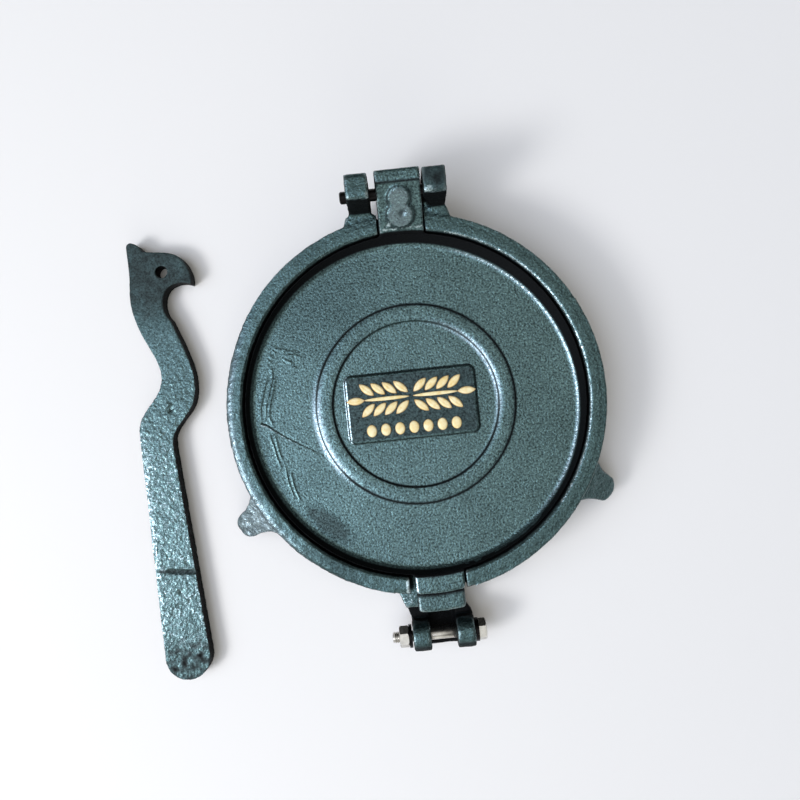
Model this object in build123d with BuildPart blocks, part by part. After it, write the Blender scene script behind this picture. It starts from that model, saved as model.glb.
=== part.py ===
from build123d import *
from math import atan2, cos, radians, sin
import os

os.makedirs("parts", exist_ok=True)

# Roti maker: a cast-iron press of two round plates, closed, with its lever taken off and laid beside it.
# Millimetres. +Z is up, z = 0 is the table, the hinge is at +Y, the fork at -Y, the lever at -X.
# The origin is on the table under the centre of the plates.

# Heights of the base casting
foot_height = 8.5          # table to the underside of the base plate
base_thickness = 9.5       # base plate under its pressing face
ring_depth = 16.0          # pressing face to the top of the raised ring
press_gap = 0.3            # between the two pressing faces when closed

# Raised ring round the base plate
ring_radius = 96.2
ring_wall = 9.4            # measured at the top
ring_outer_draft = 2.0
ring_inner_draft = 0.9
ring_outer_round = 3.0     # rounded in two flat steps
ring_inner_chamfer = 1.1

# Top plate, a shallow pan inside the ring
lid_side_gap = 0.7         # pan rim to the ring
lid_rim_drop = 0.9         # pan rim below the ring's top
lid_rim_width = 0.7
lid_thickness = 8.7        # pressing face to the pan's floor
lid_wall_run = 3.0         # how far the inside of the pan's wall leans outwards
lid_outer_draft = 1.1
lid_edge_chamfer = 0.8
pan_foot_chamfer = 1.2

# Round bead on the pan's floor
bead_radius = 46.8
bead_width = 8.0
bead_height = 1.9
bead_side_run = 1.1
bead_crown = 0.5           # middle of the bead stands this much above its edges

# Plain plaque in the middle, with two ears of wheat and a row of studs
plaque_length = 68.0
plaque_width = 36.0
plaque_height = 1.6
plaque_corner = 4.5
plaque_chamfer = 0.6
plaque_x = -2.0
relief_height = 1.1
grain_length = 9.6
grain_width = 3.8
grain_pitch = 5.8
grain_count = 4            # in each row of each ear
grain_splay = 42.0         # degrees between a grain and the stalk
grain_gap = 0.5            # grain to the stalk
stalk_width = 1.5
wheat_y = 4.4              # wheat above the plaque's middle
wheat_gap = 0.8            # half the space between the two ears of wheat
stud_width = 4.4
stud_length = 6.4
stud_chamfer = 1.4
stud_pitch = 7.2
stud_count = 7
stud_y = -11.4

# Hinge at the rear
pin_diameter = 6.0
pin_reach = 7.8            # ring to the pin's axis
pin_z = 42.0
pin_stub = 3.2             # pin left standing out of the left ear
pin_chamfer = 0.6
hinge_clearance = 0.1      # pin to the arm's bore, on the radius
ear_gap = 25.6
ear_offset = 0.6           # both ears stand a little to the right
ear_width = 11.6
ear_front = 7.2            # pin to the ear's front face, at the ring's height
ear_lean = 2.2             # front face leans back this much at the top
ear_rear = 8.0
ear_above_pin = 14.0
ear_round = 2.6
ear_relief_width = 4.0     # the right ear is cast thinner low down, at its inner front edge
ear_relief_height = 15.0
ear_relief_depth = 2.8
ear_root_z = 12.0
shoulder_width = 52.0
shoulder_flare = 3.0
shoulder_drop = 0.15       # shoulder's top below the ring's

# Arm of the top plate, from the pan to the hinge
arm_width = 22.5
arm_offset = 1.75          # cast a little to the right
arm_left_gap = 0.5
arm_right_gap = 0.4
arm_rise = 1.5             # low end of the pad above the ring
pad_lean = 1.8             # low end of the pad leans outwards from the rim
seat_clearance = 0.4       # arm and tongue to the floors of their notches
rear_notch_z = 24.0
knuckle_radius = 8.0
heel_reach = 10.0          # pin to the back of the heel
heel_height = 8.0          # pin to the top of the heel
heel_depth = 6.8
heel_round = 1.5
heel_step = 0.9            # groove between the pad and the heel
open_angle = 105.0         # where the heel meets its stop
stop_clearance = 0.3
stop_gap = 1.2             # back of the arm to the stop

# Two-lobed boss on the arm's sloping pad
lobe_radius = 6.8
lobe_small_radius = 5.6
lobe_pitch = 8.8
lobe_from_edge = 8.0
lobe_height = 1.2
lobe_chamfer = 0.4
dimple_radius = 1.3
dimple_depth = 0.6

# Stepped tongue at the front of the top plate
tongue_offset = 2.65       # cast a little to the right
tongue_width = 25.2
tongue_end_width = 24.4
tongue_length = 8.8        # high step, measured from the ring's inner edge
tongue_end_length = 10.2   # low step
tongue_rise = 0.5
tongue_step = 4.2
tongue_corner = 2.2
tongue_chamfer = 0.7
front_notch_z = 22.0
notch_left_gap = 2.2
notch_right_gap = 0.4

# Fork for the lever at the front of the base
fork_reach = 24.5          # ring to the bolt's axis
fork_z = 16.0
fork_offset = 2.3
fork_gap = 13.0
boss_length = 10.0
boss_radius = 8.6
boss_chamfer = 0.8
arm_root_z = 5.0
arm_top_z = 13.0
web_top_z = 8.0
web_length = 8.4           # web beyond the bolt axis
shelf_left = 19.4          # at the ring
shelf_left_taper = 3.4     # each side runs in this much towards the front
shelf_right = 15.6
shelf_right_taper = 1.4
shelf_length = 8.7         # root shelf in front of the ring
shelf_z = front_notch_z

# Feet
foot_angle = 60.0          # the two front feet, from the front
foot_reach = 18.8          # ring to the tip of a front foot
foot_tip_half = 7.0
foot_neck_half = 9.2
foot_neck_reach = 4.8      # ring to the foot's narrowest place
foot_root_half = 19.0
foot_root_depth = 3.0
foot_top_root = 29.0
foot_top_tip = 12.0
foot_tip_round = 4.5
foot_inset = 1.7           # feet start this far outside the ring's inner edge
rear_foot_width = 16.0
rear_foot_length = 14.0
rear_foot_round = 2.5

# Pivot bolt, M6 x 45, with nut and washers
bolt_diameter = 6.0
bolt_length = 45.0
bolt_clearance = 0.1       # shank to the boss, on the radius
hex_across = 10.0
head_height = 4.0
nut_height = 5.0
hex_chamfer = 0.6
thread_chamfer = 0.8
washer_diameter = 12.0
washer_hole = 6.4
washer_thickness = 1.6
bolt_play = 0.15           # washer to boss, each side

# Lever, a flat bar with a bird's head, lying on the table
lever_gap = 31.1           # ring to the middle of the lever's eye
lever_eye_y = 84.0
lever_thickness = 9.5
lever_reach = 218.2        # eye to the end of the grip
eye_diameter = 6.3
beak_reach = 15.5
beak_tip = 2.3
beak_drop = 8.1
crown_height = 10.6
crest_height = 17.1
nape_back = 17.6
throat_depth = 14.7
# Neck and shaft: distance from the eye, offset of the middle, width
lever_stations = [
    (26.2, -6.9, 18.4),
    (36.4, -3.1, 18.4),
    (47.0, 1.0, 17.2),
    (58.0, 2.7, 18.2),
    (66.0, 0.6, 21.6),
    (73.0, -3.6, 25.2),
    (80.0, -8.4, 23.4),
    (87.0, -11.4, 19.0),
    (100.0, -11.6, 18.2),
]
grip_offset = -7.3
grip_width = 24.6

# Values worked out from those above
press_z = foot_height + base_thickness
ring_top = press_z + ring_depth
ring_inner = ring_radius - ring_wall
foot_inner = ring_inner + foot_inset
foot_root_radius = foot_inner + foot_root_depth
foot_neck_radius = ring_radius + foot_neck_reach
foot_radius = ring_radius + foot_reach
pin_y = ring_radius + pin_reach
fork_y = ring_radius + fork_reach
lever_eye_x = -ring_radius - lever_gap
lid_z = press_z + press_gap
floor_z = lid_z + lid_thickness
rim_z = ring_top - lid_rim_drop
rim_radius = ring_inner - lid_side_gap
rim_inner = rim_radius - lid_rim_width
lid_radius = rim_radius - lid_outer_draft
pan_radius = rim_inner - lid_wall_run
pad_z = ring_top + arm_rise
pad_y = rim_inner + pad_lean
pin_radius = pin_diameter / 2
ear_outer_left = ear_offset - ear_gap / 2 - ear_width
ear_outer_right = ear_offset + ear_gap / 2 + ear_width
ear_top = pin_z + ear_above_pin
ear_front_y = pin_y - ear_front
shoulder_top = ring_top - shoulder_drop
arm_left = arm_offset - arm_width / 2
arm_right = arm_offset + arm_width / 2
heel_y = pin_y + heel_reach
heel_z = pin_z + heel_height
pad_end_y = heel_y - heel_depth
pad_end_z = heel_z - heel_step
pad_angle = atan2(pad_end_z - pad_z, pad_end_y - pad_y)
heel_drop = (heel_reach - heel_round) * sin(radians(open_angle))
heel_drop += heel_round - (heel_height - heel_round) * cos(radians(open_angle))
stop_z = pin_z - heel_drop - stop_clearance
stop_y = ear_front_y + stop_gap
tongue_left = tongue_offset - tongue_width / 2
tongue_right = tongue_offset + tongue_width / 2
tongue_z = front_notch_z + seat_clearance
tongue_top = ring_top + tongue_rise
step_y = ring_inner + tongue_length
tongue_end_y = step_y + tongue_end_length
shelf_y = ring_radius + shelf_length
boss_left = fork_offset - fork_gap / 2
boss_right = fork_offset + fork_gap / 2
boss_outer_left = boss_left - boss_length
boss_outer_right = boss_right + boss_length
washer_left = boss_outer_left - bolt_play - washer_thickness
washer_right = boss_outer_right + bolt_play
head_x = washer_right + washer_thickness
grain_x = wheat_gap + grain_length / 2 * cos(radians(grain_splay)) + grain_gap
grain_y = (grain_length / 2 * sin(radians(grain_splay)) + stalk_width / 2 + grain_gap
           + grain_width / 2 * cos(radians(grain_splay)) / 3)
stalk_length = grain_count * grain_pitch
ear_tip_x = wheat_gap + stalk_length + grain_length / 2 - grain_gap
beyond = ring_radius / 4   # cuts run this far past what they cut


# One grain of wheat, pointed at both ends
with BuildSketch() as grain:
    with BuildLine():
        Polyline(
            (-grain_length / 2, 0),
            (-grain_length / 5, grain_width / 2),
            (grain_length / 5, grain_width / 2),
            (grain_length / 2, 0),
            (grain_length / 5, -grain_width / 2),
            (-grain_length / 5, -grain_width / 2),
            close=True,
        )
    make_face()


# One stud of the row under the wheat
with BuildSketch() as stud:
    Rectangle(stud_width, stud_length)
    chamfer(stud.vertices(), stud_chamfer)


# One front foot, drawn along +X: a lug that flows out of the ring and slopes down to its tip
with BuildPart() as front_foot:
    with BuildSketch():
        with BuildLine():
            root = Polyline(
                (foot_root_radius, foot_root_half),
                (foot_inner, foot_root_half),
                (foot_inner, -foot_root_half),
                (foot_root_radius, -foot_root_half),
            )
            right_side = Spline(
                root @ 1,
                (foot_neck_radius, -foot_neck_half),
                (foot_radius - foot_tip_round, -foot_tip_half),
                tangents=[(0.6, 1), (1, 0.1)],
            )
            left_side = Spline(
                root @ 0,
                (foot_neck_radius, foot_neck_half),
                (foot_radius - foot_tip_round, foot_tip_half),
                tangents=[(0.6, -1), (1, -0.1)],
            )
            ThreePointArc(right_side @ 1, (foot_radius, 0), left_side @ 1)
        make_face()
    extrude(amount=foot_top_root)
    with BuildSketch(Plane.XZ):
        with BuildLine():
            Polyline(
                (foot_root_radius, foot_top_root),
                (foot_radius, foot_top_tip),
                (foot_radius + beyond, foot_top_tip),
                (foot_radius + beyond, foot_top_root + beyond),
                (foot_root_radius, foot_top_root + beyond),
                close=True,
            )
        make_face()
    extrude(amount=foot_root_half + beyond, both=True, mode=Mode.SUBTRACT)


# One boss of the fork, drawn along +X, with softened ends
with BuildPart() as boss:
    with BuildSketch(Plane.YZ):
        Circle(boss_radius)
    extrude(amount=boss_length)
    chamfer(boss.edges().filter_by(GeomType.CIRCLE), boss_chamfer)


# Stepped tongue of the top plate, with rounded front corners
with BuildPart() as tongue:
    with BuildSketch(Plane.XY.offset(tongue_z)) as high_step:
        with Locations((tongue_offset, -(pan_radius + step_y) / 2)):
            Rectangle(tongue_width, step_y - pan_radius)
        Circle(step_y, mode=Mode.INTERSECT)
        fillet(high_step.vertices().sort_by(Axis.Y)[:2], tongue_corner)
    extrude(amount=tongue_top - tongue_z)
    chamfer(tongue.faces().sort_by(Axis.Z)[-1].edges(), tongue_chamfer)
    with BuildSketch(Plane.XY.offset(tongue_z)) as low_step:
        with Locations((tongue_offset, -(step_y + tongue_end_y) / 2 + tongue_corner / 2)):
            Rectangle(tongue_end_width, tongue_end_length + tongue_corner)
        Circle(tongue_end_y, mode=Mode.INTERSECT)
        fillet(low_step.vertices().sort_by(Axis.Y)[:2], tongue_corner)
    extrude(amount=tongue_top - tongue_step - tongue_z)
    low_top = tongue.faces().filter_by(Plane.XY).sort_by(Axis.Z)[-2]
    chamfer(low_top.edges().filter_by_position(Axis.Y, -tongue_end_y - 1, -step_y - tongue_corner),
            tongue_chamfer)


# Base casting: plate, ring, feet, hinge ears, stop and fork in one piece
with BuildPart() as base:
    with BuildSketch(Plane.XZ):
        with BuildLine():
            Polyline(
                (0, foot_height),
                (ring_radius - ring_outer_draft, foot_height),
                (ring_radius, ring_top - ring_outer_round),
                (ring_radius - ring_outer_round * 0.3, ring_top - ring_outer_round * 0.3),
                (ring_radius - ring_outer_round, ring_top),
                (ring_inner + ring_inner_chamfer, ring_top),
                (ring_inner, ring_top - ring_inner_chamfer),
                (ring_inner - ring_inner_draft, press_z),
                (0, press_z),
                close=True,
            )
        make_face()
    revolve(axis=Axis.Z)

    # Shoulder behind the ring, which carries the ears
    with BuildSketch(Plane.XY.offset(ear_root_z)):
        with BuildLine():
            Polyline(
                (-shoulder_width / 2 - shoulder_flare, ear_front_y - ring_wall * 1.5),
                (-shoulder_width / 2, ear_front_y),
                (shoulder_width / 2, ear_front_y),
                (shoulder_width / 2 + shoulder_flare, ear_front_y - ring_wall * 1.5),
                close=True,
            )
        make_face()
        Circle(foot_inner, mode=Mode.SUBTRACT)
    extrude(amount=shoulder_top - ear_root_z)

    # Two hinge ears
    for side in (-1, 1):
        with BuildSketch(Plane.YZ.offset(ear_offset + side * ear_gap / 2)) as ear:
            with BuildLine():
                Polyline(
                    (ear_front_y - ear_front / 2, ear_root_z),
                    (ear_front_y - ear_front / 2, ring_top - ring_inner_chamfer),
                    (ear_front_y, ring_top - ring_inner_chamfer),
                    (ear_front_y + ear_lean, ear_top),
                    (pin_y + ear_rear, ear_top),
                    (pin_y + ear_rear, pin_z - ear_rear),
                    (pin_y, ear_root_z),
                    close=True,
                )
            make_face()
            fillet(ear.vertices().group_by(Axis.Y)[-1], ear_round)
        extrude(amount=side * ear_width)
    with BuildSketch(Plane.XZ.offset(-ear_front_y - ear_relief_depth)):
        with BuildLine():
            Polyline(
                (ear_offset + ear_gap / 2, shoulder_top),
                (ear_offset + ear_gap / 2 + ear_relief_width, shoulder_top),
                (ear_offset + ear_gap / 2, shoulder_top + ear_relief_height),
                close=True,
            )
        make_face()
    extrude(amount=ear_relief_depth, mode=Mode.SUBTRACT)

    # Root shelf of the fork, in front of the ring
    with BuildSketch(Plane.XY.offset(arm_root_z)):
        with BuildLine():
            Polyline(
                (-shelf_left, -foot_inner),
                (-shelf_left, -ring_radius),
                (shelf_left_taper - shelf_left, -shelf_y),
                (shelf_right - shelf_right_taper, -shelf_y),
                (shelf_right, -ring_radius),
                (shelf_right, -foot_inner),
                close=True,
            )
        make_face()
    extrude(amount=shelf_z - arm_root_z)

    # Arms of the fork, spreading from the shelf to the bosses, and the web between them
    with BuildSketch(Plane.XY.offset(arm_root_z)):
        with BuildLine():
            Polyline(
                (shelf_left_taper - shelf_left, -ring_radius),
                (shelf_left_taper - shelf_left, -shelf_y),
                (boss_outer_left, -fork_y + boss_radius),
                (boss_outer_left, -fork_y),
                (boss_outer_right, -fork_y),
                (boss_outer_right, -fork_y + boss_radius),
                (shelf_right - shelf_right_taper, -shelf_y),
                (shelf_right - shelf_right_taper, -ring_radius),
                close=True,
            )
        make_face()
    extrude(amount=arm_top_z - arm_root_z)
    with Locations((fork_offset, -fork_y, (arm_top_z + web_top_z) / 2)):
        Box(fork_gap, 2 * (fork_y - shelf_y), arm_top_z - web_top_z,
            mode=Mode.SUBTRACT)
    with BuildSketch(Plane.XY.offset(arm_root_z)) as web:
        with BuildLine():
            Polyline(
                (boss_outer_left, -fork_y),
                (boss_outer_left, -fork_y - web_length),
                (boss_outer_right, -fork_y - web_length),
                (boss_outer_right, -fork_y),
                close=True,
            )
        make_face()
        fillet(web.vertices().group_by(Axis.Y)[0], web_length / 2)
    extrude(amount=web_top_z - arm_root_z)

    # Bosses for the pivot bolt
    with Locations((boss_outer_left, -fork_y, fork_z), (boss_right, -fork_y, fork_z)):
        add(boss.part)

    # Notches through the ring for the tongue and the arm
    with BuildSketch(Plane.XY.offset(front_notch_z)):
        with BuildLine():
            Polyline(
                (tongue_left - notch_left_gap, -pan_radius),
                (tongue_left - notch_left_gap, -fork_y),
                (tongue_right + notch_right_gap, -fork_y),
                (tongue_right + notch_right_gap, -pan_radius),
                close=True,
            )
        make_face()
        with Locations((0, -fork_y)):
            Rectangle(4 * boss_length + fork_gap, 2 * boss_radius + 1, mode=Mode.SUBTRACT)
    extrude(amount=ring_depth, mode=Mode.SUBTRACT)
    with BuildSketch(Plane.XY.offset(rear_notch_z)):
        with BuildLine():
            Polyline(
                (arm_left - arm_left_gap, pan_radius),
                (arm_left - arm_left_gap, ear_front_y + 1),
                (arm_right + arm_right_gap, ear_front_y + 1),
                (arm_right + arm_right_gap, pan_radius),
                close=True,
            )
        make_face()
    extrude(amount=ring_depth, mode=Mode.SUBTRACT)

    # Rear foot under the arm, whose top stops the heel of the open top plate
    with BuildSketch(Plane.YZ) as rear_foot:
        with BuildLine():
            Polyline(
                (foot_inner, 0),
                (stop_y + rear_foot_length, 0),
                (stop_y + rear_foot_length, stop_z),
                (stop_y, stop_z),
                (stop_y, rear_notch_z - seat_clearance),
                (foot_inner, rear_notch_z - seat_clearance),
                close=True,
            )
        make_face()
        fillet(rear_foot.vertices().group_by(Axis.X)[-1], rear_foot_round)
    extrude(amount=rear_foot_width / 2, both=True)

    # Front feet
    for angle in (foot_angle - 90, -foot_angle - 90):
        with Locations(Rotation(0, 0, angle)):
            add(front_foot.part)

    # Bores for the hinge pin and the pivot bolt
    with BuildSketch(Plane.YZ.offset(ear_outer_left - 1)):
        with Locations((pin_y, pin_z)):
            Circle(pin_radius)
    extrude(amount=ear_outer_right - ear_outer_left + 2, mode=Mode.SUBTRACT)
    with BuildSketch(Plane.YZ.offset(boss_outer_left - 1)):
        with Locations((-fork_y, fork_z)):
            Circle(bolt_diameter / 2 + bolt_clearance)
    extrude(amount=boss_outer_right - boss_outer_left + 2, mode=Mode.SUBTRACT)
base.part.label = "base"
export_step(base.part, "parts/base.step")


# Top plate casting: pan, bead, plaque, tongue, arm and hinge knuckle in one piece
with BuildPart() as top_plate:
    with BuildSketch(Plane.XZ):
        with BuildLine():
            Polyline(
                (0, lid_z),
                (lid_radius - lid_edge_chamfer, lid_z),
                (lid_radius, lid_z + lid_edge_chamfer),
                (rim_radius, rim_z),
                (0, rim_z),
                close=True,
            )
        make_face()
    revolve(axis=Axis.Z)

    # Arm and knuckle
    with BuildSketch(Plane.YZ.offset(arm_left)) as arm_section:
        with BuildLine():
            back = Polyline(
                (pan_radius, pad_z),
                (pad_y, pad_z),
                (pad_end_y, pad_end_z),
                (pad_end_y, heel_z),
                (heel_y, heel_z),
                (heel_y, pin_z),
            )
            under = ThreePointArc(
                back @ 1,
                (pin_y + knuckle_radius * 0.8, pin_z - knuckle_radius * 0.7),
                (pin_y, pin_z - knuckle_radius),
            )
            Polyline(
                under @ 1,
                (ear_front_y + 1, pin_z - knuckle_radius),
                (ear_front_y, pin_z - knuckle_radius - 1),
                (ear_front_y, rear_notch_z + seat_clearance),
                (pan_radius, rear_notch_z + seat_clearance),
                back @ 0,
            )
        make_face()
        fillet(arm_section.vertices().group_by(Axis.Y)[-1].sort_by(Axis.X)[-1], heel_round)
    extrude(amount=arm_width)

    # Stepped tongue
    add(tongue.part)

    # Hollow of the pan
    with BuildSketch(Plane.XZ) as hollow:
        with BuildLine():
            Polyline(
                (0, floor_z),
                (pan_radius, floor_z),
                (rim_inner, rim_z),
                (pad_y, pad_z),
                (pad_y, pad_z + beyond),
                (0, pad_z + beyond),
                close=True,
            )
        make_face()
        chamfer(hollow.vertices().group_by(Axis.Y)[0].sort_by(Axis.X)[-1], pan_foot_chamfer)
    revolve(axis=Axis.Z, mode=Mode.SUBTRACT)

    # Bead
    with BuildSketch(Plane.XZ):
        with BuildLine():
            Polyline(
                (bead_radius - bead_width / 2, floor_z),
                (bead_radius - bead_width / 2 + bead_side_run, floor_z + bead_height - bead_crown),
                (bead_radius, floor_z + bead_height),
                (bead_radius + bead_width / 2 - bead_side_run, floor_z + bead_height - bead_crown),
                (bead_radius + bead_width / 2, floor_z),
                close=True,
            )
        make_face()
    revolve(axis=Axis.Z)

    # Plaque with its relief
    with BuildSketch(Plane.XY.offset(floor_z)):
        with Locations((plaque_x, 0)):
            RectangleRounded(plaque_length, plaque_width, plaque_corner)
    extrude(amount=plaque_height)
    chamfer(top_plate.faces().filter_by_position(Axis.Z, floor_z + plaque_height - 0.01,
            floor_z + plaque_height + 0.01).edges(), plaque_chamfer)
    with BuildSketch(Plane.XY.offset(floor_z + plaque_height)):
        for side in (-1, 1):
            for row in (-1, 1):
                for i in range(grain_count):
                    middle = (plaque_x + side * (grain_x + i * grain_pitch), wheat_y + row * grain_y)
                    with Locations(Location(middle, side * row * grain_splay)):
                        add(grain.sketch)
            with Locations((plaque_x + side * (wheat_gap + stalk_length / 2), wheat_y)):
                Rectangle(stalk_length, stalk_width)
            with Locations((plaque_x + side * ear_tip_x, wheat_y)):
                add(grain.sketch)
        with Locations((plaque_x, stud_y)):
            with GridLocations(stud_pitch, 0, stud_count, 1):
                add(stud.sketch)
    extrude(amount=relief_height)

    # Two-lobed boss on the sloping pad
    pad_normal = (0, -sin(pad_angle), cos(pad_angle))
    pad_plane = Plane(origin=(arm_offset, pad_y, pad_z), x_dir=(1, 0, 0), z_dir=pad_normal)
    with BuildSketch(pad_plane):
        with Locations((0, lobe_from_edge)):
            Circle(lobe_radius)
        with Locations((0, lobe_from_edge + lobe_pitch)):
            Circle(lobe_small_radius)
    extrude(amount=lobe_height)
    lobe_top = top_plate.faces(Select.LAST).sort_by(Axis(pad_plane.origin, pad_plane.z_dir))[-1]
    chamfer(lobe_top.edges(), lobe_chamfer)
    with BuildSketch(pad_plane.offset(lobe_height)):
        with Locations((dimple_radius, lobe_from_edge + dimple_radius)):
            Circle(dimple_radius)
    extrude(amount=-dimple_depth, mode=Mode.SUBTRACT)

    # Bore for the hinge pin
    with BuildSketch(Plane.YZ.offset(arm_left - 1)):
        with Locations((pin_y, pin_z)):
            Circle(pin_radius + hinge_clearance)
    extrude(amount=arm_width + 2, mode=Mode.SUBTRACT)
top_plate.part.label = "top_plate"
export_step(top_plate.part, "parts/top_plate.step")


# Hinge pin, driven through the ears and left standing out on the left
with BuildPart() as hinge_pin:
    with BuildSketch(Plane.YZ.offset(ear_outer_left - pin_stub)):
        with Locations((pin_y, pin_z)):
            Circle(pin_radius)
    extrude(amount=ear_outer_right - ear_outer_left + pin_stub)
    chamfer(hinge_pin.edges().filter_by(GeomType.CIRCLE), pin_chamfer)
hinge_pin.part.label = "hinge_pin"
export_step(hinge_pin.part, "parts/hinge_pin.step")


# Pivot bolt with a hexagon head at the right
with BuildPart() as pivot_bolt:
    with BuildSketch(Plane.YZ.offset(head_x)):
        with Locations((-fork_y, fork_z)):
            RegularPolygon(hex_across / 2, 6, major_radius=False, rotation=0)
    extrude(amount=head_height)
    chamfer(pivot_bolt.faces().sort_by(Axis.X)[-1].edges(), hex_chamfer)
    with BuildSketch(Plane.YZ.offset(head_x)):
        with Locations((-fork_y, fork_z)):
            Circle(bolt_diameter / 2)
    extrude(amount=-bolt_length)
    chamfer(pivot_bolt.faces().sort_by(Axis.X)[0].edges(), thread_chamfer)
pivot_bolt.part.label = "pivot_bolt"
export_step(pivot_bolt.part, "parts/pivot_bolt.step")


# Nut on the left end of the bolt
with BuildPart() as pivot_nut:
    with BuildSketch(Plane.YZ.offset(washer_left)):
        with Locations((-fork_y, fork_z)):
            RegularPolygon(hex_across / 2, 6, major_radius=False, rotation=0)
    extrude(amount=-nut_height)
    chamfer(pivot_nut.faces().sort_by(Axis.X)[0].edges(), hex_chamfer)
    with BuildSketch(Plane.YZ.offset(washer_left)):
        with Locations((-fork_y, fork_z)):
            Circle(bolt_diameter / 2)
    extrude(amount=-nut_height, mode=Mode.SUBTRACT)
pivot_nut.part.label = "pivot_nut"
export_step(pivot_nut.part, "parts/pivot_nut.step")


# Plain washers, one under the head and one under the nut
with BuildPart() as head_washer:
    with BuildSketch(Plane.YZ.offset(washer_right)):
        with Locations((-fork_y, fork_z)):
            Circle(washer_diameter / 2)
            Circle(washer_hole / 2, mode=Mode.SUBTRACT)
    extrude(amount=washer_thickness)
head_washer.part.label = "head_washer"
export_step(head_washer.part, "parts/head_washer.step")

with BuildPart() as nut_washer:
    with BuildSketch(Plane.YZ.offset(washer_left)):
        with Locations((-fork_y, fork_z)):
            Circle(washer_diameter / 2)
            Circle(washer_hole / 2, mode=Mode.SUBTRACT)
    extrude(amount=washer_thickness)
nut_washer.part.label = "nut_washer"
export_step(nut_washer.part, "parts/nut_washer.step")


# Lever: bird's head with crest and beak, S-bent neck, shaft that widens to a rounded grip
lever_plane = Plane(origin=(lever_eye_x, lever_eye_y, 0), x_dir=(1, 0, 0), z_dir=(0, 0, 1))
grip_end = lever_reach - grip_width / 2
with BuildPart() as lever:
    with BuildSketch(lever_plane):
        with BuildLine():
            crown = Spline(
                (beak_reach, -beak_drop + beak_tip),
                (beak_reach * 0.89, beak_drop * 0.2),
                (beak_reach * 0.61, crown_height * 0.72),
                (0, crown_height),
                (-nape_back / 2, crown_height + 1.3),
            )
            crest = Spline(
                crown @ 1,
                (-nape_back * 0.71, crest_height - 1),
                (-nape_back * 0.87, crest_height),
                (-nape_back, crest_height - 2),
            )
            left_edge = Spline(
                [crest @ 1, (-nape_back + 0.3, 0), (-nape_back - 0.6, -throat_depth)]
                + [(mid - width / 2, -along) for along, mid, width in lever_stations],
                tangents=[(0, -1), (0.01, -1)],
            )
            left_side = Line(left_edge @ 1, (grip_offset - grip_width / 2, -grip_end))
            grip = ThreePointArc(
                left_side @ 1,
                (grip_offset, -lever_reach),
                (grip_offset + grip_width / 2, -grip_end),
            )
            right_edge = Spline(
                [(mid + width / 2, -along) for along, mid, width in reversed(lever_stations)],
                tangents=[(-0.07, 1), (-0.36, 1)],
            )
            Line(grip @ 1, right_edge @ 0)
            throat = Spline(
                right_edge @ 1,
                (-0.7, -throat_depth),
                (2, -throat_depth + 5.4),
                (beak_reach / 2, -beak_drop + 1.2),
                (beak_reach - 0.7, -beak_drop),
            )
            Line(throat @ 1, crown @ 0)
        make_face()
        Circle(eye_diameter / 2, mode=Mode.SUBTRACT)
    extrude(amount=lever_thickness)
lever.part.label = "lever"
export_step(lever.part, "parts/lever.step")
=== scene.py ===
import math
from functools import partial

import bmesh
import bpy
import numpy as np
from mathutils import Matrix, Vector, noise


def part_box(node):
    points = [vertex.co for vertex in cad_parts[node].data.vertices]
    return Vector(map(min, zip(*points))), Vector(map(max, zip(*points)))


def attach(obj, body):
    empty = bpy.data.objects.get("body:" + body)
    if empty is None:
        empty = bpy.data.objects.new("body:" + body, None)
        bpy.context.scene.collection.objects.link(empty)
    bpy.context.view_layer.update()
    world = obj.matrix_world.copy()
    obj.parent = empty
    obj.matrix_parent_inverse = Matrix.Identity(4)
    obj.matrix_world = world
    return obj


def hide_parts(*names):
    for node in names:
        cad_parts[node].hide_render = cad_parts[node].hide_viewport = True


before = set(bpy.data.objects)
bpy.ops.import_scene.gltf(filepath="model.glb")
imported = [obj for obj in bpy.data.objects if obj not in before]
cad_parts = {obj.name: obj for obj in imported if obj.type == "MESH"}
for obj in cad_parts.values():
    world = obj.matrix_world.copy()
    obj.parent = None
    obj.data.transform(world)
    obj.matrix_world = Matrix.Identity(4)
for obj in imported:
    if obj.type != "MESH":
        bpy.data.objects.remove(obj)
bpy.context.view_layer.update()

# Roti maker: a cast-iron press, closed, seen from straight above, with its loose lever at the left.
# Metres. +Z is up, +Y points to the hinge, and the origin is on the table under the middle of the plates.
MM = 0.001

# Sizes of the castings that the finish follows
RING_RADIUS = 96.2 * MM
RING_INNER = 86.8 * MM
RING_TOP = 34.0 * MM
RING_EDGE = 1.1 * MM
PRESS_Z = 18.0 * MM
FOOT_HEIGHT = 8.5 * MM
LID_Z = 18.3 * MM
PAN_RADIUS = 82.4 * MM
FLOOR_Z = 27.0 * MM
PAN_SUNK = 0.8 * MM
RIM_INNER = 85.4 * MM
RIM_Z = 33.1 * MM
BEAD_HEIGHT = 1.9 * MM
BEAD_STEPS = (42.2 * MM, 50.7 * MM)
# Slopes of the bead at radii in mm: steep steps with level shoulders, and where it was cast rounder
BEAD_CRISP = [(40.9, 0), (41.9, 0.16), (42.0, 2.75), (42.4, 2.75), (42.55, 0.2), (44.8, 0), (47.4, 0),
              (50.4, -0.16), (50.5, -2.75), (50.9, -2.75), (51.0, -0.16), (52.0, 0)]
BEAD_ROUND = [(39.8, 0), (41.85, 0.5), (42.0, 1.2), (42.35, 1.2), (42.55, 0.6), (45.4, 0), (46.3, 0),
              (50.4, -0.42), (50.55, -1.35), (50.85, -1.35), (51.0, -0.42), (53.8, 0)]
# Rings of the pan's floor: from and to radii and the step between them, in mm
PAN_STEPS = [(0.6, 39.8, 1.0), (39.8, 41.9, 0.3), (41.9, 42.7, 0.13), (42.7, 45.5, 0.35), (45.5, 50.3, 0.4),
             (50.3, 51.1, 0.13), (51.1, 54.0, 0.32), (54.0, 66.0, 1.0), (66.0, 80.3, 0.4)]
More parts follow.
